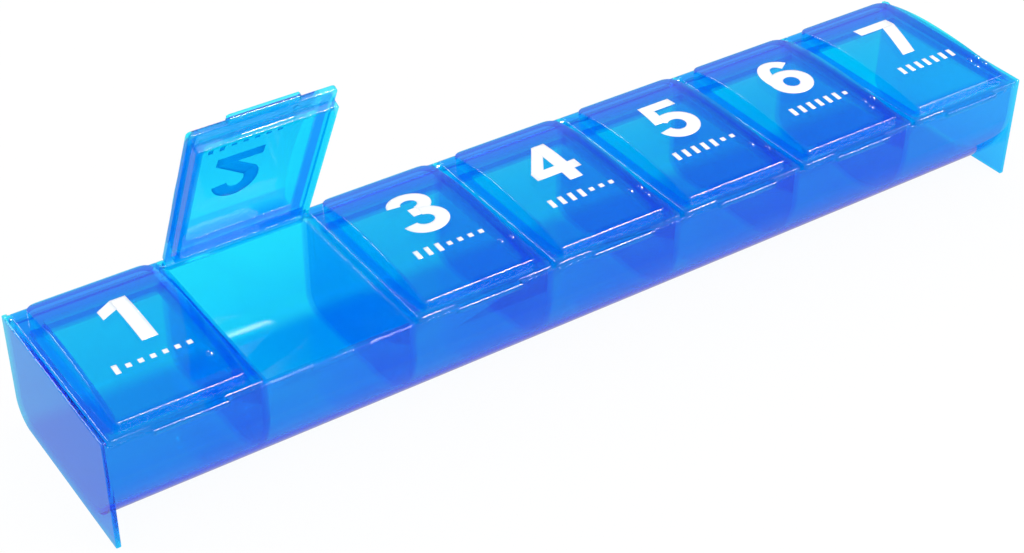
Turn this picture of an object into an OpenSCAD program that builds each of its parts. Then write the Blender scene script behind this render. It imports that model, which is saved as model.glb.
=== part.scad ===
// Seven-day pill organizer: a scooped tray with seven lids that snap in on moulded pins.
// Millimetres. X runs along the row, the front is -Y, the hinges are at the back, +Z is up,
// and the origin is the centre of the underside.

/* [Row] */
// Distance between the centres of two neighbouring compartments
pitch = 30; // [27:0.5:40]
// Thickness of the partitions between compartments
partition_t = 1.4; // [1.2:0.1:2]
// Thickness of the plate that closes each end of the row
end_plate_t = 1; // [0.8:0.1:2]

/* [Tray] */
// Depth of the tray, front face to back face
tray_depth = 41.8; // [38:0.2:50]
// Height of the rim that the lids rest on
rim_h = 22.5; // [21.5:0.5:34]
// Thickness of the floor, the front wall and the back wall
wall = 1.2; // [1:0.1:1.6]
// Radius of the scoop where the front wall runs down into the floor
scoop_r = 15; // [8:0.5:17]
// Radius where the floor turns up into the back wall
back_r = 5; // [3:0.5:8]
// How far the end plates stand above the rim
end_plate_rise = 1; // [0.2:0.1:1.2]

/* [Lids] */
// Thickness of the lid's flat flange
flange_t = 1.2; // [1:0.1:1.6]
// Gap between the flanges of two closed lids
flange_gap = 1; // [0.6:0.1:2]
// Width of the thumb tab on the front edge
tab_w = 14.2; // [8:0.2:20]
// How far the thumb tab reaches forward of the flange
tab_reach = 1.5; // [0.8:0.1:3]
// How far the crowned window is set in from the flange's side edges
window_inset = 2.3; // [1.5:0.1:4]
// Height of the window's crown above the flange
crown_rise = 3.45; // [2.9:0.05:5]
// Height of the window's front edge above the flange
front_rise = 1.25; // [0.6:0.05:1.8]
// Height of the window's back edge above the flange
back_rise = 1.5; // [0.8:0.05:1.8]
// Thickness of the window and of its side walls
window_t = 1.2; // [0.9:0.1:1.4]
// How far the skirt reaches down into the compartment
skirt_drop = 2.2; // [2:0.1:4]
// Thickness of the skirt
skirt_t = 0.85; // [0.7:0.05:1.2]
// Angle at which the Monday lid stands open
open_angle = 65; // [0:5:120]

/* [Hinges] */
// Radius of the pins at the ends of each lid's barrel
pin_r = 0.55; // [0.4:0.05:0.7]
// Running clearance of a pin in its bore
pin_clearance = 0.07; // [0.03:0.01:0.1]
// Radius of the lid's barrel and of the ears that hold it
barrel_r = 1.1; // [1:0.05:1.15]

/* [Catches] */
// Width of the snap bead on the skirt
bead_w = 10.4; // [6:0.2:14]
// How far the snap bead stands out from the skirt
bead_proud = 0.3; // [0.2:0.05:0.35]

/* [Number bumps] */
// Distance between two bumps
bump_pitch = 2.3; // [2.1:0.1:2.6]
// Height of a bump above the window
bump_h = 0.45; // [0.3:0.05:0.6]
// Radius of a bump at its foot
bump_r = 0.75; // [0.6:0.05:0.9]

/* [Hidden] */
$fn = 64;
cells = 7;
// Overrun of a cut past the face that it opens
over = 1;

// The row
row_l = cells * pitch;
cell_w = pitch - partition_t;
// The end plates' inner faces lie this far inside the ends of the row
end_inset = 0.35;
plate_in = row_l / 2 - end_inset;
plate_out = plate_in + end_plate_t;
front_y = -tray_depth / 2;
back_y = tray_depth / 2;

// The hinge axis: the barrel is level with the flange's top and with the tray's back, nearly
flange_top = rim_h + flange_t;
hinge_z = flange_top - barrel_r;
barrel_setback = 0.1;
hinge_y = back_y - barrel_r - barrel_setback;
// Free space round the barrel and between a lid's parts and the tray
barrel_clearance = 0.2;
side_play = 0.1;
pin_l = 0.65;
ear_skin = 0.4;
bore_r = pin_r + pin_clearance;

// The flange
flange_w = pitch - flange_gap;
flange_lip = 0.3;
flange_front = front_y - flange_lip;
flange_r = 0.8;
tab_r = 0.4;
relief_clearance = 0.2;
relief_y = hinge_y - barrel_r - relief_clearance;
barrel_w = cell_w - 2 * side_play;

// The window: two arcs that meet at the crown
window_w = flange_w - 2 * window_inset;
window_front_inset = 2.15;
window_front = flange_front + window_front_inset;
window_back_inset = 0.8;
window_back = hinge_y - window_back_inset;
crown_share = 0.61;
crown_y = window_front + crown_share * (window_back - window_front);
crown_z = flange_top + crown_rise;
front_sag = crown_rise - front_rise;
back_sag = crown_rise - back_rise;
front_arc_r = (pow(crown_y - window_front, 2) + pow(front_sag, 2)) / (2 * front_sag);
back_arc_r = (pow(window_back - crown_y, 2) + pow(back_sag, 2)) / (2 * back_sag);
window_front_r = 0.8;
window_back_r = 2.4;
corner_steps = 6;
arc_steps = 12;

// The skirt
skirt_side_clearance = 0.4;
skirt_front_clearance = 0.4;
skirt_back_clearance = 3.8;
skirt_w = cell_w - 2 * skirt_side_clearance;
skirt_front = front_y + wall + skirt_front_clearance;
skirt_back = hinge_y - skirt_back_clearance;
skirt_r = 0.5;
skirt_bottom = rim_h - skirt_drop;

// The hollow under the window leaves a flat ledge in front of it and behind it, inside the skirt
ledge = 1.6;
window_side_t = 1.3;
hollow_w = window_w - 2 * window_side_t;
hollow_front = skirt_front + skirt_t + ledge;
hollow_back = skirt_back - skirt_t - ledge;

// The catches: a bead on the skirt sits in a recess in the front wall's inner face
bead_up = 0.8;
bead_z = skirt_bottom + bead_up;
bead_r = 0.4;
recess_side = 0.5;
recess_h = 1.4;
recess_depth = 0.35;
rim_chamfer = 0.45;
land_w = bead_w + 2 * recess_side;

// The number bumps: dot 1 stands at this place on the window
bump_x = 9;
bump_front_inset = 7;
bump_ball_r = (pow(bump_r, 2) + pow(bump_h, 2)) / (2 * bump_h);
// Dots raised for the numbers 1 to 7, each dot as its column and row
bump_dots = [
    [[0, 0]],
    [[0, 0], [0, 1]],
    [[0, 0], [1, 0]],
    [[0, 0], [1, 0], [1, 1]],
    [[0, 0], [1, 1]],
    [[0, 0], [1, 0], [0, 1]],
    [[0, 0], [1, 0], [0, 1], [1, 1]]
];

// Centre of a compartment, counted from 0 at the left end
function cell_x(i) = (i + 0.5) * pitch - row_l / 2;

// Height of the window's top at a place along Y
function crown_at(y) = crown_z - (y < crown_y
    ? front_arc_r - sqrt(pow(front_arc_r, 2) - pow(crown_y - y, 2))
    : back_arc_r - sqrt(pow(back_arc_r, 2) - pow(y - crown_y, 2)));

// Points of a quarter arc about a centre, from one angle on: a square corner is one point
function corner_arc(c, r, from) = r == 0 ? [c] : [for (k = [0:corner_steps])
    c + r * [cos(from + 90 * k / corner_steps), sin(from + 90 * k / corner_steps)]];

// Outline of a plate with front and back corner radii
function plate_points(w, front, back, front_r, back_r) = concat(
    corner_arc([w / 2 - back_r, back - back_r], back_r, 0),
    corner_arc([back_r - w / 2, back - back_r], back_r, 90),
    corner_arc([front_r - w / 2, front + front_r], front_r, 180),
    corner_arc([w / 2 - front_r, front + front_r], front_r, 270));

// A slab with rounded upright edges
module plate(w, front, back, front_r, back_r, low, high) {
    translate([0, 0, low])
        linear_extrude(high - low)
            polygon(plate_points(w, front, back, front_r, back_r));
}

// Extrudes a Y-Z outline along X, from x0 to x1
module along_x(x0, x1) {
    translate([x0, 0, 0])
        rotate([90, 0, 90])
            linear_extrude(x1 - x0)
                children();
}

// Section of the trough, moved in by t, up to a height
module trough_section(t, top) {
    union() {
        translate([front_y + scoop_r, t])
            square([tray_depth - scoop_r - back_r, top - t]);
        translate([front_y + t, scoop_r])
            square([tray_depth - 2 * t, top - scoop_r]);
        translate([back_y - back_r - t, back_r])
            square([back_r, top - back_r]);
        // The scoop is the quarter of its circle that faces forward and down
        intersection() {
            translate([front_y + scoop_r, scoop_r])
                circle(scoop_r - t);
            translate([front_y, 0])
                square(scoop_r);
        }
        translate([back_y - back_r, back_r])
            circle(back_r - t);
    }
}

// Section of an end plate: square at the front foot and rounded at the back one
module end_section() {
    top = rim_h + end_plate_rise;
    union() {
        translate([front_y, 0])
            square([tray_depth - back_r, top]);
        translate([front_y, back_r])
            square([tray_depth, top - back_r]);
        translate([back_y - back_r, back_r])
            circle(back_r);
    }
}

// The round ear on top of a partition, or inside an end plate, from x0 to x1
module ear(x0, x1) {
    along_x(x0, x1)
        translate([hinge_y, hinge_z])
            circle(barrel_r);
}

module pin_bore(x0, x1) {
    along_x(x0, x1)
        translate([hinge_y, hinge_z])
            circle(bore_r);
}

// Everything that one compartment takes out of the solid row
module cell_cuts() {
    barrel_room = hinge_z - barrel_r - barrel_clearance;
    along_x(-cell_w / 2, cell_w / 2)
        trough_section(wall, rim_h + over);
    // The back wall stops below the lid's barrel
    translate([-cell_w / 2, 0, barrel_room])
        cube([cell_w, back_y + over, rim_h + over - barrel_room]);
    // The recess that the lid's bead snaps into
    translate([-land_w / 2, front_y + wall - recess_depth, bead_z - recess_h / 2])
        cube([land_w, recess_depth + over, recess_h]);
    // The front rim is eased on both sides of the land over the recess
    for (side = [-1, 1])
        translate([side * (land_w + cell_w) / 4, 0, 0])
            along_x(-(cell_w - land_w) / 4, (cell_w - land_w) / 4)
                polygon([[front_y - over, rim_h - rim_chamfer - over],
                         [front_y - over, rim_h + over],
                         [front_y + rim_chamfer + over, rim_h + over]]);
}

module tray() {
    color([0.12, 0.55, 0.95, 0.6])
        difference() {
            union() {
                along_x(-plate_in - end_plate_t / 2, plate_in + end_plate_t / 2)
                    trough_section(0, rim_h);
                for (side = [0, 1])
                    mirror([side, 0, 0]) {
                        along_x(plate_in, plate_out)
                            end_section();
                        ear(row_l / 2 - partition_t / 2, plate_out);
                    }
                for (i = [1:cells - 1])
                    ear(i * pitch - row_l / 2 - partition_t / 2, i * pitch - row_l / 2 + partition_t / 2);
            }
            for (i = [0:cells - 1])
                translate([cell_x(i), 0, 0])
                    cell_cuts();
            for (side = [0, 1])
                mirror([side, 0, 0]) {
                    // The end walls are the end plates alone
                    end_wall_cut();
                    pin_bore(row_l / 2 - partition_t / 2 - over, plate_out - ear_skin);
                }
            for (i = [1:cells - 1])
                pin_bore(i * pitch - row_l / 2 - partition_t, i * pitch - row_l / 2 + partition_t);
        }
}

// Opens the end compartments out to the end plate, except at the ear
module end_wall_cut() {
    from = row_l / 2 - partition_t;
    difference() {
        along_x(from, plate_in)
            trough_section(wall, rim_h + over);
        translate([from, relief_y, hinge_z - 2 * barrel_r])
            cube([partition_t, tray_depth, rim_h]);
    }
}

// The lid's plate with its tab, cut back at the rear corners to clear the ears
module flange() {
    union() {
        plate(flange_w, flange_front, relief_y, flange_r, 0, rim_h, flange_top);
        translate([-barrel_w / 2, relief_y - over, rim_h])
            cube([barrel_w, hinge_y - relief_y + over, flange_t]);
        plate(tab_w, flange_front - tab_reach, flange_front + over, tab_r, 0, rim_h, flange_top);
    }
}

// Y-Z outline under the window's arcs, lowered by t
module crown_section(y0, y1, low, t) {
    polygon(concat(
        [[y0, low]],
        [for (k = [0:2 * arc_steps])
            let (y = y0 + (y1 - y0) * k / (2 * arc_steps))
            [y, crown_at(y) - t]],
        [[y1, low]]));
}

module window() {
    intersection() {
        plate(window_w, window_front, window_back, window_front_r, window_back_r,
              rim_h, crown_z + over);
        along_x(-window_w / 2 - over, window_w / 2 + over)
            crown_section(window_front - over, window_back + over, rim_h, 0);
    }
}

// The hollow under the window, open through the flange
module window_hollow() {
    intersection() {
        plate(hollow_w, hollow_front, hollow_back, window_front_r, window_front_r,
              skirt_bottom - over, crown_z);
        along_x(-hollow_w / 2 - over, hollow_w / 2 + over)
            crown_section(hollow_front - over, hollow_back + over, skirt_bottom - over, window_t);
    }
}

module skirt() {
    difference() {
        plate(skirt_w, skirt_front, skirt_back, skirt_r, skirt_r, skirt_bottom, rim_h + flange_t / 2);
        plate(skirt_w - 2 * skirt_t, skirt_front + skirt_t, skirt_back - skirt_t, skirt_r, skirt_r,
              skirt_bottom - over, rim_h);
    }
}

module bead() {
    along_x(-bead_w / 2, bead_w / 2)
        translate([skirt_front - bead_proud + bead_r, bead_z])
            circle(bead_r);
}

module barrel() {
    along_x(-barrel_w / 2, barrel_w / 2)
        translate([hinge_y, hinge_z])
            circle(barrel_r);
    along_x(-barrel_w / 2 - pin_l, barrel_w / 2 + pin_l)
        translate([hinge_y, hinge_z])
            circle(pin_r);
}

// The bumps that spell a number for the fingertip
module bumps(number) {
    for (dot = bump_dots[number - 1]) {
        x = bump_x + dot[0] * bump_pitch;
        y = window_front + bump_front_inset - dot[1] * bump_pitch;
        translate([x, y, crown_at(y) + bump_h - bump_ball_r])
            sphere(bump_ball_r);
    }
}

module closed_lid(number) {
    difference() {
        union() {
            flange();
            window();
            skirt();
            bead();
            barrel();
            bumps(number);
        }
        window_hollow();
    }
}

// A lid in its place, turned up about its hinge
module lid(number, angle) {
    color([0.1, 0.5, 0.95, 0.6])
        translate([cell_x(number - 1), hinge_y, hinge_z])
            rotate([-angle, 0, 0])
                translate([0, -hinge_y, -hinge_z])
                    closed_lid(number);
}

module lid_sunday() { lid(1, 0); }
module lid_monday() { lid(2, open_angle); }
module lid_tuesday() { lid(3, 0); }
module lid_wednesday() { lid(4, 0); }
module lid_thursday() { lid(5, 0); }
module lid_friday() { lid(6, 0); }
module lid_saturday() { lid(7, 0); }

tray();
lid_sunday();
lid_monday();
lid_tuesday();
lid_wednesday();
lid_thursday();
lid_friday();
lid_saturday();
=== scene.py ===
from math import radians

import bmesh
import bpy
import numpy as np
from mathutils import Matrix, Vector


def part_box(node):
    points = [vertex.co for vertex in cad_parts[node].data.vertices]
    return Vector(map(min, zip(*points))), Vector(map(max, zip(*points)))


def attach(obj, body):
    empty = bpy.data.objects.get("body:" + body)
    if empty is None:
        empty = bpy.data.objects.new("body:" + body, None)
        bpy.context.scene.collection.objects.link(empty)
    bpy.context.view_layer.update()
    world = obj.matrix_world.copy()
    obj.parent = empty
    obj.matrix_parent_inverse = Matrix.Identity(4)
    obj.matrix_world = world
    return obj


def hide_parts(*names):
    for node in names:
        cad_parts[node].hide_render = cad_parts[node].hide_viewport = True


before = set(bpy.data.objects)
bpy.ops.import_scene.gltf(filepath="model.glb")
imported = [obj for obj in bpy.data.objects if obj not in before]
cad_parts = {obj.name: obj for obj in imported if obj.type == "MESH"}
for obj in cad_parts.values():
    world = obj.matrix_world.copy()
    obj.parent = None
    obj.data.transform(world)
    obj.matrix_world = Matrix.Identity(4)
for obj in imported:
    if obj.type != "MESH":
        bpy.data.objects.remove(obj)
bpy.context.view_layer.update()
scene = bpy.context.scene
MM = 0.001

# The clear blue plastic
# The tray and the lids are injection-moulded in the same dyed, glossy plastic. The dye drinks red
# light almost at once and green slowly, so one wall looks cyan and a stack of walls deep blue.
# PAINTED_SHADE_TINT is painted shade: a deeper blue that chosen faces are painted towards.
WALL_TINT = (0.03, 0.96, 0.95, 1.0)
# Painted shade: the deeper blue painted on faces that look darker edge-on.
PAINTED_SHADE_TINT = (0.03, 0.40, 0.97, 1.0)
LAMP_TINT = (0.05, 0.89, 0.97, 1.0)
DYE_COLOUR = (0.80, 0.918, 0.997, 1.0)
DYE_DENSITY = 1500.0
BEND_IOR = 1.03
GLOSS_IOR = 1.5
SATIN_GLOSS = 0.12
POLISH = 0.03
WEAR_SCALE = 60.0
WAVE_SCALE = 140.0
WAVE_HEIGHT = 0.01 * MM


def clouds(tree, scale, detail):
    """Soft noise from 0 to 1 over the piece's own coordinates, with scale clouds to the metre."""
    place = tree.nodes.new("ShaderNodeTexCoord")
    noise = tree.nodes.new("ShaderNodeTexNoise")
    noise.inputs["Scale"].default_value = scale
    noise.inputs["Detail"].default_value = detail
    tree.links.new(place.outputs["Object"], noise.inputs["Vector"])
    return noise.outputs["Fac"]


def between(tree, share, low, high):
    """A share from 0 to 1 turned into an amount from low to high."""
    spread = tree.nodes.new("ShaderNodeMapRange")
    spread.inputs["To Min"].default_value = low
    spread.inputs["To Max"].default_value = high
    tree.links.new(share, spread.inputs["Value"])
    return spread.outputs["Result"]


def relief(tree, share, height, strength):
    """The normals of a skin that a share from 0 to 1 raises by up to a height in metres."""
    bump = tree.nodes.new("ShaderNodeBump")
    bump.inputs["Distance"].default_value = height
    bump.inputs["Strength"].default_value = strength
    tree.links.new(share, bump.inputs["Height"])
    return bump.outputs["Normal"]


def face_share(tree, name):
    """The share that each face of a piece carries under a name."""
    carried = tree.nodes.new("ShaderNodeAttribute")
    carried.attribute_name = name
    return carried.outputs["Fac"]


def ray_share(tree, operation, first, second):
    """The light path's two kinds of ray, each 1 or 0, joined by an operation and kept within 0
    and 1."""
    path = tree.nodes.new("ShaderNodeLightPath")
    joined = tree.nodes.new("ShaderNodeMath")
    joined.operation = operation
    joined.use_clamp = True
    tree.links.new(path.outputs[first], joined.inputs[0])
    tree.links.new(path.outputs[second], joined.inputs[1])
    return joined.outputs["Value"]


def mixed(tree, share, first, second):
    """The first shader where the share is 0, the second where it is 1."""
    mix = tree.nodes.new("ShaderNodeMixShader")
    tree.links.new(share, mix.inputs["Fac"])
    tree.links.new(first, mix.inputs[1])
    tree.links.new(second, mix.inputs[2])
    return mix.outputs["Shader"]


def dyed_plastic_with_painted_shade():
    """Tinted glass whose inside absorbs light too, as much as its colour says in each metre of
    plastic. Lamps shine through it, and the dye tints what they reach. A face's share of painted
    shade paints its colour towards PAINTED_SHADE_TINT, painted shade that stands in for the darkness
    of light running along inside a wall, and its share of satin takes its gloss away. The skin has the
    slow waves of a moulding, a few thousandths of a millimetre high, and a polish that varies a little."""
    material = bpy.data.materials.new("dyed_plastic_with_painted_shade")
    material.use_nodes = True
    tree = material.node_tree
    nodes, links = tree.nodes, tree.links
    shell = nodes["Principled BSDF"]
    # Painted shade: the base colour is mixed towards the painted-shade tint by each face's share.
    tint = nodes.new("ShaderNodeMix")
    tint.data_type = "RGBA"
    tint.inputs["A"].default_value = WALL_TINT
    tint.inputs["B"].default_value = PAINTED_SHADE_TINT
    links.new(face_share(tree, "painted_shade"), tint.inputs["Factor"])
    links.new(tint.outputs["Result"], shell.inputs["Base Color"])
    shell.inputs["Transmission Weight"].default_value = 1.0
    shell.inputs["IOR"].default_value = BEND_IOR
    gloss = between(tree, face_share(tree, "satin"), 1.0, SATIN_GLOSS)
    links.new(gloss, shell.inputs["Coat Weight"])
    shell.inputs["Coat IOR"].default_value = GLOSS_IOR
    shell.inputs["Coat Roughness"].default_value = POLISH
    waves = relief(tree, clouds(tree, WAVE_SCALE, detail=1.0), WAVE_HEIGHT, strength=1.0)
    links.new(waves, shell.inputs["Normal"])
    polish = between(tree, clouds(tree, WEAR_SCALE, detail=3.0), POLISH, 3 * POLISH)
    links.new(polish, shell.inputs["Roughness"])
    clear = nodes.new("ShaderNodeBsdfTransparent")
    clear.inputs["Color"].default_value = LAMP_TINT
    lit = ray_share(tree, "MAXIMUM", "Is Shadow Ray", "Is Diffuse Ray")
    surface = mixed(tree, lit, shell.outputs["BSDF"], clear.outputs["BSDF"])
    dye = nodes.new("ShaderNodeVolumeAbsorption")
    dye.inputs["Color"].default_value = DYE_COLOUR
    dye.inputs["Density"].default_value = DYE_DENSITY
    out = nodes["Material Output"]
    links.new(surface, out.inputs["Surface"])
    links.new(dye.outputs["Volume"], out.inputs["Volume"])
    return material


plastic = dyed_plastic_with_painted_shade()

# The tray
# One moulding: a trough with a scooped front and a rounded back, six partitions and two end
# plates. It comes out of its mould with its edges rounded by a few tenths of a millimetre, and
# these catch the light as thin bright lines.
TRAY_LOW, TRAY_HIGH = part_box("tray")
PITCH = 30.0 * MM
WALL = 1.2 * MM
SCOOP_R = 15.0 * MM
BACK_R = 5.0 * MM
SEAM = 0.002 * MM
CUT_SNAP = 0.001 * MM
FLAT_WITHIN = radians(0.4)
ARC_STEP = radians(2.0)
ARC_SLACK = 0.012 * MM
TURN_SLACK = 0.01
SHARP_FROM = radians(30.0)
WIDEST_EASE = 0.22 * MM
WALL_EASE = 0.15 * MM
RIM_EASE = 0.06 * MM
PLATE_X = 104.6 * MM
EAR_Y, EAR_Z = 18.2 * MM, 21.3 * MM
RIM_Y, RIM_Z = -19.5 * MM, 22.3 * MM
FACING = 0.9
EDGE_ON = 0.1
PARTITION_REACH = 0.9 * MM
TROUGH_X = 103.0 * MM
CHAMFER_Y = -20.4 * MM
CHAMFER_TILT = 0.6
# Shares of painted shade: the partition and end-plate sides and the scooped front are painted darker.
PARTITION_PAINTED_SHADE = 0.52
SCOOP_PAINTED_SHADE = 0.27


def welded(node):
    """The node's surface with its loose triangles joined and its flat faces made whole."""
    shape = bmesh.new()
    shape.from_mesh(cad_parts[node].data)
    bmesh.ops.remove_doubles(shape, verts=shape.verts, dist=SEAM)
    bmesh.ops.dissolve_limit(shape, angle_limit=FLAT_WITHIN, verts=shape.verts, edges=shape.edges)
    return shape


def sliced(shape, faces, spot, way):
    """Cuts faces along the plane through a spot, square to a way, and gives the faces they become."""
    edges = {edge for face in faces for edge in face.edges}
    verts = {vert for face in faces for vert in face.verts}
    cut = bmesh.ops.bisect_plane(
        shape, geom=[*faces, *edges, *verts], dist=CUT_SNAP, plane_co=spot, plane_no=way)
    return [part for part in cut["geom"] if isinstance(part, bmesh.types.BMFace)]


def finer_arc(shape, axis_y, axis_z, radius, start):
    """Cuts the faces of a quarter-round wall along the row at every step of its angle, from start
    to start + 90 degrees, and moves the new edges out to the true radius."""
    def on_arc(vert):
        y, z = vert.co.y - axis_y, vert.co.z - axis_z
        turn = (np.arctan2(z, y) - start + TURN_SLACK) % (2 * np.pi)
        return abs(np.hypot(y, z) - radius) < ARC_SLACK and turn < np.pi / 2 + 2 * TURN_SLACK

    wall = [face for face in shape.faces if all(on_arc(vert) for vert in face.verts)]
    for angle in np.arange(start + ARC_STEP, start + np.pi / 2 - TURN_SLACK, ARC_STEP):
        wall = sliced(shape, wall, (0.0, axis_y, axis_z), (0.0, -np.sin(angle), np.cos(angle)))
    for vert in {vert for face in wall for vert in face.verts}:
        y, z = vert.co.y - axis_y, vert.co.z - axis_z
        stretch = radius / np.hypot(y, z)
        vert.co.y, vert.co.z = axis_y + y * stretch, axis_z + z * stretch


def moulding(shape, node, ease_at):
    """A piece of clear plastic in the node's place. Every outside edge sharper than SHARP_FROM is
    rolled over on an arc as wide as ease_at gives for its middle, and flat faces are shaded flat."""
    share = shape.edges.layers.float.new("bevel_weight_edge")
    for face in shape.faces:
        face.smooth = True
    for edge in shape.edges:
        if edge.calc_face_angle(0.0) > SHARP_FROM:
            if edge.is_convex:
                edge[share] = ease_at((edge.verts[0].co + edge.verts[1].co) / 2) / WIDEST_EASE
            else:
                edge.smooth = False
    mesh = bpy.data.meshes.new("moulded_" + node)
    shape.to_mesh(mesh)
    shape.free()
    piece = bpy.data.objects.new("moulded_" + node, mesh)
    scene.collection.objects.link(piece)
    mesh.materials.append(plastic)
    rolled = piece.modifiers.new("edges", "BEVEL")
    rolled.width = WIDEST_EASE
    rolled.segments = 3
    rolled.limit_method = "WEIGHT"
    rolled.use_clamp_overlap = False
    rolled.miter_outer = "MITER_ARC"
    flat = piece.modifiers.new("flats", "WEIGHTED_NORMAL")
    flat.weight = 90
    flat.keep_sharp = True
    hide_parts(node)
    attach(piece, node)


def tray_ease(spot):
    """How wide an edge is rolled over: widest on the end plates away from their ears, narrow on the
    front rim, and WALL_EASE elsewhere."""
    ear = spot.y > EAR_Y and spot.z > EAR_Z
    if abs(spot.x) > PLATE_X:
        return WALL_EASE if ear else WIDEST_EASE
    return RIM_EASE if spot.y < RIM_Y and spot.z > RIM_Z else WALL_EASE


def tray_painted_shade_and_satin(shape):
    """Gives the faces their shares of painted shade and satin. The sides of the partitions and end
    plates and the scooped front get painted shade, a deeper blue that stands in for the darkness of
    light running along inside them. The inside of the back's bend and the chamfers of the front rim
    are satin."""
    painted_shade = shape.faces.layers.float.new("painted_shade")
    satin = shape.faces.layers.float.new("satin")
    for face in shape.faces:
        spot, way = face.calc_center_median(), face.normal
        from_partition = abs((spot.x / PITCH) % 1 - 0.5) * PITCH
        in_front = abs(spot.x) < TROUGH_X and spot.y < TRAY_LOW.y + SCOOP_R
        # Painted shade on the partition and end-plate sides and on the scooped front.
        if abs(way.x) > FACING and from_partition < PARTITION_REACH:
            face[painted_shade] = PARTITION_PAINTED_SHADE
        elif in_front and abs(way.x) < EDGE_ON and abs(way.y) > EDGE_ON:
            face[painted_shade] = SCOOP_PAINTED_SHADE
        y, z = spot.y - TRAY_HIGH.y + BACK_R, spot.z - BACK_R
        back_bend = y > 0 and z < 0 and np.hypot(y, z) < BACK_R - WALL / 2 and abs(way.x) < EDGE_ON
        chamfer = spot.y < CHAMFER_Y and way.y < -CHAMFER_TILT and way.z > CHAMFER_TILT
        if back_bend or chamfer:
            face[satin] = 1.0


tray_shape = welded("tray")
for inset in (0.0, WALL):
    finer_arc(tray_shape, TRAY_LOW.y + SCOOP_R, SCOOP_R, SCOOP_R - inset, np.pi)
    finer_arc(tray_shape, TRAY_HIGH.y - BACK_R, BACK_R, BACK_R - inset, 1.5 * np.pi)
tray_painted_shade_and_satin(tray_shape)
moulding(tray_shape, "tray", tray_ease)

# The lids
# Seven of one moulding, but for the number bumps: a flange with a thumb tab, a crowned window, a
# skirt that drops into the compartment, and a barrel with two stub pins at the back.
DAYS = ["sunday", "monday", "tuesday", "wednesday", "thursday", "friday", "saturday"]
HINGE_Y, HINGE_Z = 19.7 * MM, 22.6 * MM
OPEN_ANGLE = radians(65.0)
REST_Z = 22.5 * MM
FLANGE_T = 1.2 * MM
FLANGE_LINE = -18.9 * MM
LEVEL_SLACK = 0.01 * MM
CLEAR_BY = 0.1 * MM
BARREL_Y = 18.2 * MM
HOLLOW_X = 11.2 * MM
HOLLOW_FRONT, HOLLOW_BACK = -17.2 * MM, 13.8 * MM
HOLLOW_TOP = 26.0 * MM
WINDOW_RIM_Z = 24.3 * MM
WINDOW_ENDS = (-17.8 * MM, 15.5 * MM)
SHORTEST_STEP = 0.16 * MM
INNER_EASE = 0.12 * MM
AIR_FILM = 0.03 * MM
CROWN_TILT = 0.8
# Shares of painted shade: the lid's faces painted darker where light runs along inside.
BACK_PAINTED_SHADE = 0.6
FLANGE_PAINTED_SHADE = 0.9
FLANGE_FRONT_PAINTED_SHADE = 0.1
WINDOW_PAINTED_SHADE = 0.08


def lid_x(number):
    """The middle of a numbered lid along the row, whose own middle is the fourth lid's."""
    return (number - 4) * PITCH


def shut(spot, number, angle):
    """Where a spot of a lid turned up by an angle is on the shut lid: its x from the lid's middle,
    and its y and z turned back by the angle about the hinge."""
    y, z = spot.y - HINGE_Y, spot.z - HINGE_Z
    back_y, back_z = y * np.cos(angle) - z * np.sin(angle), y * np.sin(angle) + z * np.cos(angle)
    return spot.x - lid_x(number), HINGE_Y + back_y, HINGE_Z + back_z


def upward(way, angle):
    """How far a direction on a lid turned up by an angle points upward on the shut lid."""
    return way.y * np.sin(angle) + way.z * np.cos(angle)


def lid_ease(number, angle):
    """How wide an edge is rolled over: widest on the outlines of the flange and the window, and
    INNER_EASE on the skirt, the hollow and the hinge."""
    def ease_at(spot):
        x, y, z = shut(spot, number, angle)
        in_hollow = abs(x) < HOLLOW_X and HOLLOW_FRONT < y < HOLLOW_BACK and z < HOLLOW_TOP
        outline = z > REST_Z - CLEAR_BY and y < BARREL_Y and not in_hollow
        return WIDEST_EASE if outline else INNER_EASE

    return ease_at


def on_flange(face, number, angle):
    """Whether a face lies in one of the flange's two flat sides."""
    _, _, z = shut(face.calc_center_median(), number, angle)
    level = REST_Z - LEVEL_SLACK < z < REST_Z + FLANGE_T + LEVEL_SLACK
    return level and abs(upward(face.normal, angle)) > FACING


def lid_shape(day, number, angle):
    """The lid's surface. The window's outline has no step shorter than SHORTEST_STEP at its ends,
    so that the crown meets it cleanly, and the flange's flat sides are cut at FLANGE_LINE. A shut
    lid's flange clears the rim that it rests on by a film of air."""
    def at_end(vert):
        _, y, z = shut(vert.co, number, angle)
        return z > WINDOW_RIM_Z and not WINDOW_ENDS[0] <= y <= WINDOW_ENDS[1]

    def short_step(edge):
        return edge.calc_length() < SHORTEST_STEP and all(at_end(vert) for vert in edge.verts)

    shape = welded("lid_" + day)
    bmesh.ops.collapse(shape, edges=[edge for edge in shape.edges if short_step(edge)])
    backward = Vector((0.0, np.cos(angle), -np.sin(angle)))
    line = Vector((0.0, HINGE_Y, HINGE_Z)) + (FLANGE_LINE - HINGE_Y) * backward
    flange = [face for face in shape.faces if on_flange(face, number, angle)]
    sliced(shape, flange, line, backward)
    if angle == 0:
        for vert in shape.verts:
            if abs(vert.co.z - REST_Z) < SEAM:
                vert.co.z += AIR_FILM
    return shape


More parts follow.
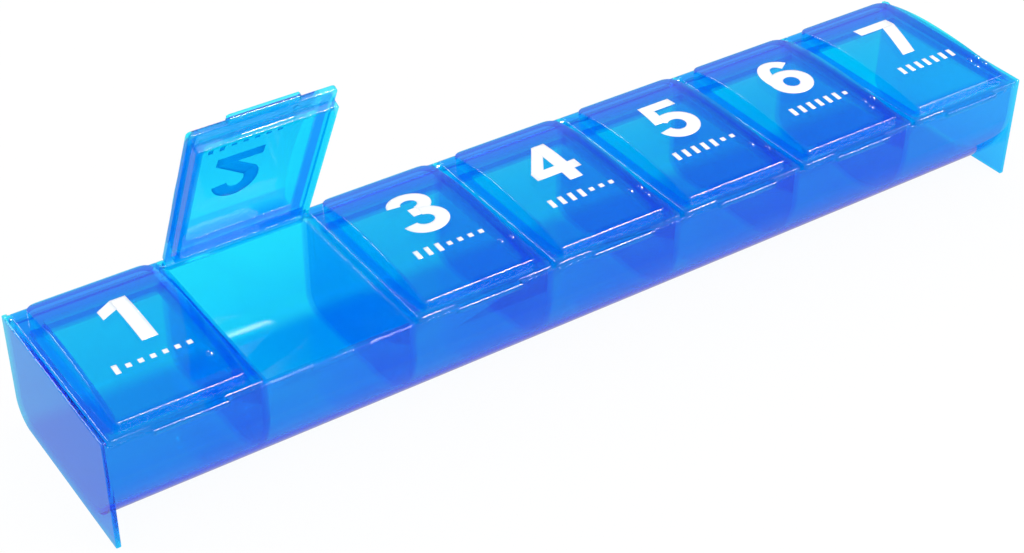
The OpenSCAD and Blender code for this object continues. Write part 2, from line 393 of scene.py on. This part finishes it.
def lid_painted_shade(shape, number, angle):
    """Gives the faces their share of painted shade, a deeper blue painted on: most in the flange's
    sides and behind the hollow, where light runs along inside, and little in the flange's front strip
    and the window."""
    painted_shade = shape.faces.layers.float.new("painted_shade")
    for face in shape.faces:
        _, y, z = shut(face.calc_center_median(), number, angle)
        # Painted shade behind the hollow, on the flange's sides and front strip, and on the window.
        if y > HOLLOW_BACK:
            face[painted_shade] = BACK_PAINTED_SHADE
        elif on_flange(face, number, angle):
            face[painted_shade] = FLANGE_FRONT_PAINTED_SHADE if y < FLANGE_LINE else FLANGE_PAINTED_SHADE
        elif z > REST_Z + FLANGE_T + CLEAR_BY and abs(upward(face.normal, angle)) > CROWN_TILT:
            face[painted_shade] = WINDOW_PAINTED_SHADE


for number, day in enumerate(DAYS, 1):
    angle = OPEN_ANGLE if day == "monday" else 0.0
    lid = lid_shape(day, number, angle)
    lid_painted_shade(lid, number, angle)
    moulding(lid, "lid_" + day, lid_ease(number, angle))

# The print
# White ink pressed on the crown of each window: a large plain numeral, and under it a row of seven
# marks, of which as many as the numeral says are long. The film is thin, matt and opaque.
CROWN_Z = 27.15 * MM
CROWN_SHARE = 0.61
WINDOW_FRONT, WINDOW_BACK = -19.05 * MM, 18.9 * MM
CROWN_Y = WINDOW_FRONT + CROWN_SHARE * (WINDOW_BACK - WINDOW_FRONT)
FRONT_SAG, BACK_SAG = 2.2 * MM, 1.95 * MM
NUMERAL_FOOT = -3.6
PRINT_X = 0.4
MARK_Y = -8.0
MARK_H = 2.3
MARK_W = 1.0
MARK_STEP = 2.3
INK_WHITE = (0.93, 0.95, 0.97, 1.0)
INK_MATT, INK_MATTEST = 0.35, 0.55
TOOTH_SCALE = 4000.0
TOOTH_HEIGHT = 0.004 * MM
TOOTH_STRENGTH = 0.6
INK_T = 0.045 * MM
INK_PROUD = 0.035 * MM
INK_LAP = 0.003 * MM
LAP_LEVELS = 3


def crown_height(y):
    """The window's top over its places y: two arcs that meet at the crown, each with the radius
    (half chord squared plus sag squared) over twice the sag."""
    front_r = ((CROWN_Y - WINDOW_FRONT) ** 2 + FRONT_SAG**2) / (2 * FRONT_SAG)
    back_r = ((WINDOW_BACK - CROWN_Y) ** 2 + BACK_SAG**2) / (2 * BACK_SAG)
    radius = np.where(y < CROWN_Y, front_r, back_r)
    return CROWN_Z - radius + np.sqrt(radius**2 - (y - CROWN_Y) ** 2)


def straight(a, b, c, d, rows=19, cols=5):
    """A straight stroke with four corners, in order round it: the mean of its corners, each
    weighted by how near the point is to it across (u) and along (v)."""
    u, v = np.meshgrid(np.linspace(0, 1, cols), np.linspace(0, 1, rows))
    u, v = u[..., None], v[..., None]
    a, b, c, d = (np.array(corner, float) for corner in (a, b, c, d))
    return (1 - u) * (1 - v) * a + u * (1 - v) * b + u * v * c + (1 - u) * v * d


def bowl(centre, outer, inner, start, end, rows=49, cols=5):
    """A curved stroke: the space between two ellipses about a centre, with the half axes outer
    and inner, from one angle in degrees to another."""
    across, turn = np.meshgrid(np.linspace(0, 1, cols), np.radians(np.linspace(start, end, rows)))
    half_x = outer[0] + (inner[0] - outer[0]) * across
    half_y = outer[1] + (inner[1] - outer[1]) * across
    return np.stack([centre[0] + half_x * np.cos(turn), centre[1] + half_y * np.sin(turn)], axis=-1)


# The strokes of each numeral in millimetres, 13.5 high, from its lower left corner.
NUMERALS = {
    1: [
        straight((3.4, 0), (6.5, 0), (6.5, 13.5), (3.4, 13.5)),
        straight((0.2, 8.6), (3.6, 10.4), (3.6, 13.5), (0.2, 11.4)),
    ],
    2: [
        bowl((4.8, 8.9), (4.8, 4.6), (1.75, 1.9), 172, -35),
        straight((0, 2.5), (4.2, 2.5), (8.73, 6.26), (6.2, 7.85)),
        straight((0, 0), (9.6, 0), (9.6, 2.6), (0, 2.6)),
    ],
    3: [
        bowl((4.7, 9.8), (4.5, 3.7), (1.7, 1.35), 172, -80),
        bowl((4.8, 4.0), (4.9, 4.0), (1.95, 1.5), 80, -172),
        straight((3.4, 5.75), (5.4, 5.75), (5.4, 8.15), (3.4, 8.15)),
    ],
    4: [
        straight((5.6, 0), (8.6, 0), (8.6, 13.5), (5.6, 13.5)),
        straight((0, 2.9), (10.3, 2.9), (10.3, 5.4), (0, 5.4)),
        straight((0, 5.2), (2.9, 5.2), (5.8, 9.6), (5.7, 13.5)),
    ],
    5: [
        straight((1.4, 10.9), (9.1, 10.9), (9.1, 13.5), (1.4, 13.5)),
        bowl((4.6, 4.45), (4.9, 4.45), (1.95, 1.85), 138, -168),
        straight((0.5, 6.3), (3.1, 6.3), (3.7, 11.0), (1.4, 13.4)),
    ],
    6: [
        bowl((4.8, 4.4), (4.8, 4.4), (1.8, 1.8), 0, 360, rows=73),
        bowl((5.0, 6.75), (5.0, 6.75), (2.0, 4.3), 200, 40),
    ],
    7: [
        straight((0, 10.8), (9.4, 10.8), (9.4, 13.5), (0, 13.5)),
        straight((2.0, 0), (5.3, 0), (9.4, 10.9), (6.1, 10.9)),
    ],
}


def marks(number):
    """The seven marks: upright oblongs, the first ones as high as MARK_H and the rest square."""
    strokes = []
    for k in range(len(DAYS)):
        x = PRINT_X + (k - len(DAYS) // 2) * MARK_STEP
        left, right = x - MARK_W / 2, x + MARK_W / 2
        tall = MARK_H / 2 if k < number else MARK_W / 2
        low, high = MARK_Y - tall, MARK_Y + tall
        strokes.append(straight((left, low), (right, low), (right, high), (left, high), rows=5, cols=3))
    return strokes


def white_ink():
    """Matt white with the fine tooth of a pressed film."""
    material = bpy.data.materials.new("white_ink")
    material.use_nodes = True
    tree = material.node_tree
    film = tree.nodes["Principled BSDF"]
    film.inputs["Base Color"].default_value = INK_WHITE
    tooth = clouds(tree, TOOTH_SCALE, detail=2.0)
    tree.links.new(between(tree, tooth, INK_MATT, INK_MATTEST), film.inputs["Roughness"])
    tree.links.new(relief(tree, tooth, TOOTH_HEIGHT, TOOTH_STRENGTH), film.inputs["Normal"])
    return material


ink = white_ink()


def printed(number, day):
    """The print of one lid: its strokes centred over the window and laid on the crown, each on the
    next of a few levels a hair's breadth apart, so that no two that cross share a plane. The Monday
    print is then turned up about the hinge with its lid."""
    strokes = NUMERALS[number]
    middle = (min(s[..., 0].min() for s in strokes) + max(s[..., 0].max() for s in strokes)) / 2
    strokes = [s + (PRINT_X - middle, NUMERAL_FOOT) for s in strokes] + marks(number)
    spots, faces, count = [], [], 0
    for lap, stroke in enumerate(strokes):
        rows, cols = stroke.shape[:2]
        flat = stroke.reshape(-1, 2) * MM
        height = crown_height(flat[:, 1]) + INK_PROUD + lap % LAP_LEVELS * INK_LAP
        spots.append(np.column_stack([flat, height]))
        corner = count + (np.arange(rows - 1)[:, None] * cols + np.arange(cols - 1)).ravel()
        faces.append(np.column_stack([corner, corner + 1, corner + cols + 1, corner + cols]))
        count += rows * cols
    spots, faces = np.concatenate(spots), np.concatenate(faces)
    if day == "monday":
        y, z = spots[:, 1] - HINGE_Y, spots[:, 2] - HINGE_Z
        spots[:, 1] = HINGE_Y + y * np.cos(OPEN_ANGLE) + z * np.sin(OPEN_ANGLE)
        spots[:, 2] = HINGE_Z - y * np.sin(OPEN_ANGLE) + z * np.cos(OPEN_ANGLE)
    spots[:, 0] += lid_x(number)
    mesh = bpy.data.meshes.new("print_" + day)
    mesh.from_pydata(spots, [], faces.tolist())
    mesh.materials.append(ink)
    mesh.shade_smooth()
    piece = bpy.data.objects.new("print_" + day, mesh)
    scene.collection.objects.link(piece)
    film = piece.modifiers.new("film", "SOLIDIFY")
    film.thickness = INK_T
    film.offset = -1.0
    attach(piece, "lid_" + day)


for number, day in enumerate(DAYS, 1):
    printed(number, day)

# The studio
# A white table under an even sky, with one softbox at the front right and one at the back left.
# The camera sees plain white, but for a trace of the shadow, and gloss mirrors a quieter room.
TABLE_SIDE = 6.0
TABLE_DROP = 0.2 * MM
TABLE_WHITE = (0.95, 0.95, 0.95, 1.0)
TABLE_SEEN = 0.95
TABLE_MIRRORED = 0.5
LAMP_AIM = (0.0, 0.0, 0.01)
SKY_WHITE = (1.0, 1.0, 1.0, 1.0)
HORIZON_Z, HORIZON_LIGHT = 0.2, 0.5
OVERHEAD_Z, OVERHEAD_LIGHT = 0.6, 0.22
# Each light that gloss mirrors: the way to it, the cosines of the angles from that way where it
# fades in and where it is full, and its strength.
FRONT_BOX = ((0.456, -0.482, 0.748), 0.965, 0.99, 60.0)
FRONT_GLOW = ((0.46, -0.45, 0.76), 0.68, 0.97, 3.0)
FRONT_LOW = ((0.5, -0.68, 0.54), 0.93, 0.98, 4.0)
BACK_BOX = ((0.0, 0.72, 0.69), 0.975, 0.995, 15.0)

table_mesh = bpy.data.meshes.new("table")
half = TABLE_SIDE / 2
table_corners = [(-half, -half, 0), (half, -half, 0), (half, half, 0), (-half, half, 0)]
table_mesh.from_pydata(table_corners, [], [(0, 1, 2, 3)])
table = bpy.data.objects.new("table", table_mesh)
scene.collection.objects.link(table)
table.location.z = -TABLE_DROP


def white_table():
    """Matt white that keeps the object's shadow and its tint, nearly plain white to the camera,
    and a quieter white in reflections, which are glossy rays that aren't transmitted."""
    material = bpy.data.materials.new("white_table")
    material.use_nodes = True
    tree = material.node_tree
    nodes, links = tree.nodes, tree.links
    matt = nodes["Principled BSDF"]
    matt.inputs["Base Color"].default_value = TABLE_WHITE
    matt.inputs["Roughness"].default_value = 0.9
    matt.inputs["Specular IOR Level"].default_value = 0.0
    path = nodes.new("ShaderNodeLightPath")
    plain = nodes.new("ShaderNodeMath")
    plain.operation = "MULTIPLY"
    plain.inputs[1].default_value = TABLE_SEEN
    links.new(path.outputs["Is Camera Ray"], plain.inputs[0])
    glow = nodes.new("ShaderNodeEmission")
    seen = mixed(tree, plain.outputs["Value"], matt.outputs["BSDF"], glow.outputs["Emission"])
    mirrored = ray_share(tree, "SUBTRACT", "Is Glossy Ray", "Is Transmission Ray")
    quiet = nodes.new("ShaderNodeEmission")
    quiet.inputs["Strength"].default_value = TABLE_MIRRORED
    surface = mixed(tree, mirrored, seen, quiet.outputs["Emission"])
    links.new(surface, nodes["Material Output"].inputs["Surface"])
    return material


table_mesh.materials.append(white_table())


def softbox(name, place, side, power):
    """A square lamp at a place, turned to face the row. Gloss mirrors the sky's lights instead."""
    lamp = bpy.data.lights.new(name, "AREA")
    lamp.shape = "SQUARE"
    lamp.size = side
    lamp.energy = power
    holder = bpy.data.objects.new(name, lamp)
    scene.collection.objects.link(holder)
    holder.visible_glossy = False
    holder.location = place
    holder.rotation_euler = (Vector(LAMP_AIM) - Vector(place)).to_track_quat("-Z", "Y").to_euler()


softbox("softbox_front", place=(0.46, -0.60, 0.68), side=0.6, power=2.0)
softbox("softbox_back", place=(-0.60, 0.70, 0.47), side=0.5, power=1.2)


def studio_sky():
    """White to the camera and through the plastic, and an even pale light on matt surfaces. In
    reflections it is bright at the horizon and dim overhead, and has a softbox in a soft glow with
    a dim light under it at the front right, and a softbox at the back. Each is brightest along its
    way and gone at an angle from it."""
    sky = bpy.data.worlds.new("studio")
    sky.use_nodes = True
    tree = sky.node_tree
    nodes, links = tree.nodes, tree.links
    air = nodes["Background"]
    air.inputs["Color"].default_value = SKY_WHITE
    place = nodes.new("ShaderNodeTexCoord")
    axes = nodes.new("ShaderNodeSeparateXYZ")
    links.new(place.outputs["Generated"], axes.inputs["Vector"])

    def falloff(amount, start, end, low, high):
        """An amount turned smoothly from low at its start to high at its end."""
        node = nodes.new("ShaderNodeMapRange")
        node.interpolation_type = "SMOOTHSTEP"
        for socket, value in zip(("From Min", "From Max", "To Min", "To Max"), (start, end, low, high)):
            node.inputs[socket].default_value = value
        links.new(amount, node.inputs["Value"])
        return node.outputs["Result"]

    def toward(way):
        """The cosine of a ray's angle from a way."""
        node = nodes.new("ShaderNodeVectorMath")
        node.operation = "DOT_PRODUCT"
        node.inputs[1].default_value = Vector(way).normalized()
        links.new(place.outputs["Generated"], node.inputs[0])
        return node.outputs["Value"]

    room = falloff(axes.outputs["Z"], HORIZON_Z, OVERHEAD_Z, HORIZON_LIGHT, OVERHEAD_LIGHT)
    for way, start, full, strength in (FRONT_BOX, FRONT_GLOW, FRONT_LOW, BACK_BOX):
        added = nodes.new("ShaderNodeMath")
        added.operation = "ADD"
        links.new(room, added.inputs[0])
        links.new(falloff(toward(way), start, full, 0.0, strength), added.inputs[1])
        room = added.outputs["Value"]
    path = nodes.new("ShaderNodeLightPath")
    glossy = nodes.new("ShaderNodeMix")
    links.new(path.outputs["Is Glossy Ray"], glossy.inputs["Factor"])
    glossy.inputs["A"].default_value = 1.0
    links.new(room, glossy.inputs["B"])
    level = nodes.new("ShaderNodeMix")
    white = ray_share(tree, "MAXIMUM", "Is Camera Ray", "Is Transmission Ray")
    links.new(white, level.inputs["Factor"])
    links.new(glossy.outputs["Result"], level.inputs["A"])
    level.inputs["B"].default_value = 1.0
    links.new(level.outputs["Result"], air.inputs["Strength"])
    return sky


scene.world = studio_sky()

# The camera
# It looks down on the row from the front left, as the photograph does. Its rays may pass through
# many clear walls, and the rare brightest ones are held back, so that little grain is left.
CAMERA_PLACE = Vector((-0.18838, -0.25988, 0.23823))
CAMERA_AIM = Vector((-0.01700, -0.01003, 0.0150))
CAMERA_ROLL = radians(0.53)
camera = bpy.data.objects.new("camera", bpy.data.cameras.new("camera"))
scene.collection.objects.link(camera)
scene.camera = camera
camera.data.sensor_width = 36.0
camera.data.lens = 69.66
camera.data.clip_start = 0.01
turn = (CAMERA_AIM - CAMERA_PLACE).to_track_quat("-Z", "Y").to_matrix().to_4x4()
camera.matrix_world = Matrix.Translation(CAMERA_PLACE) @ turn @ Matrix.Rotation(CAMERA_ROLL, 4, "Z")

scene.view_settings.view_transform = "Standard"
scene.cycles.max_bounces = 32
scene.cycles.glossy_bounces = 24
scene.cycles.transmission_bounces = 32
scene.cycles.transparent_max_bounces = 32
scene.cycles.sample_clamp_indirect = 4.0
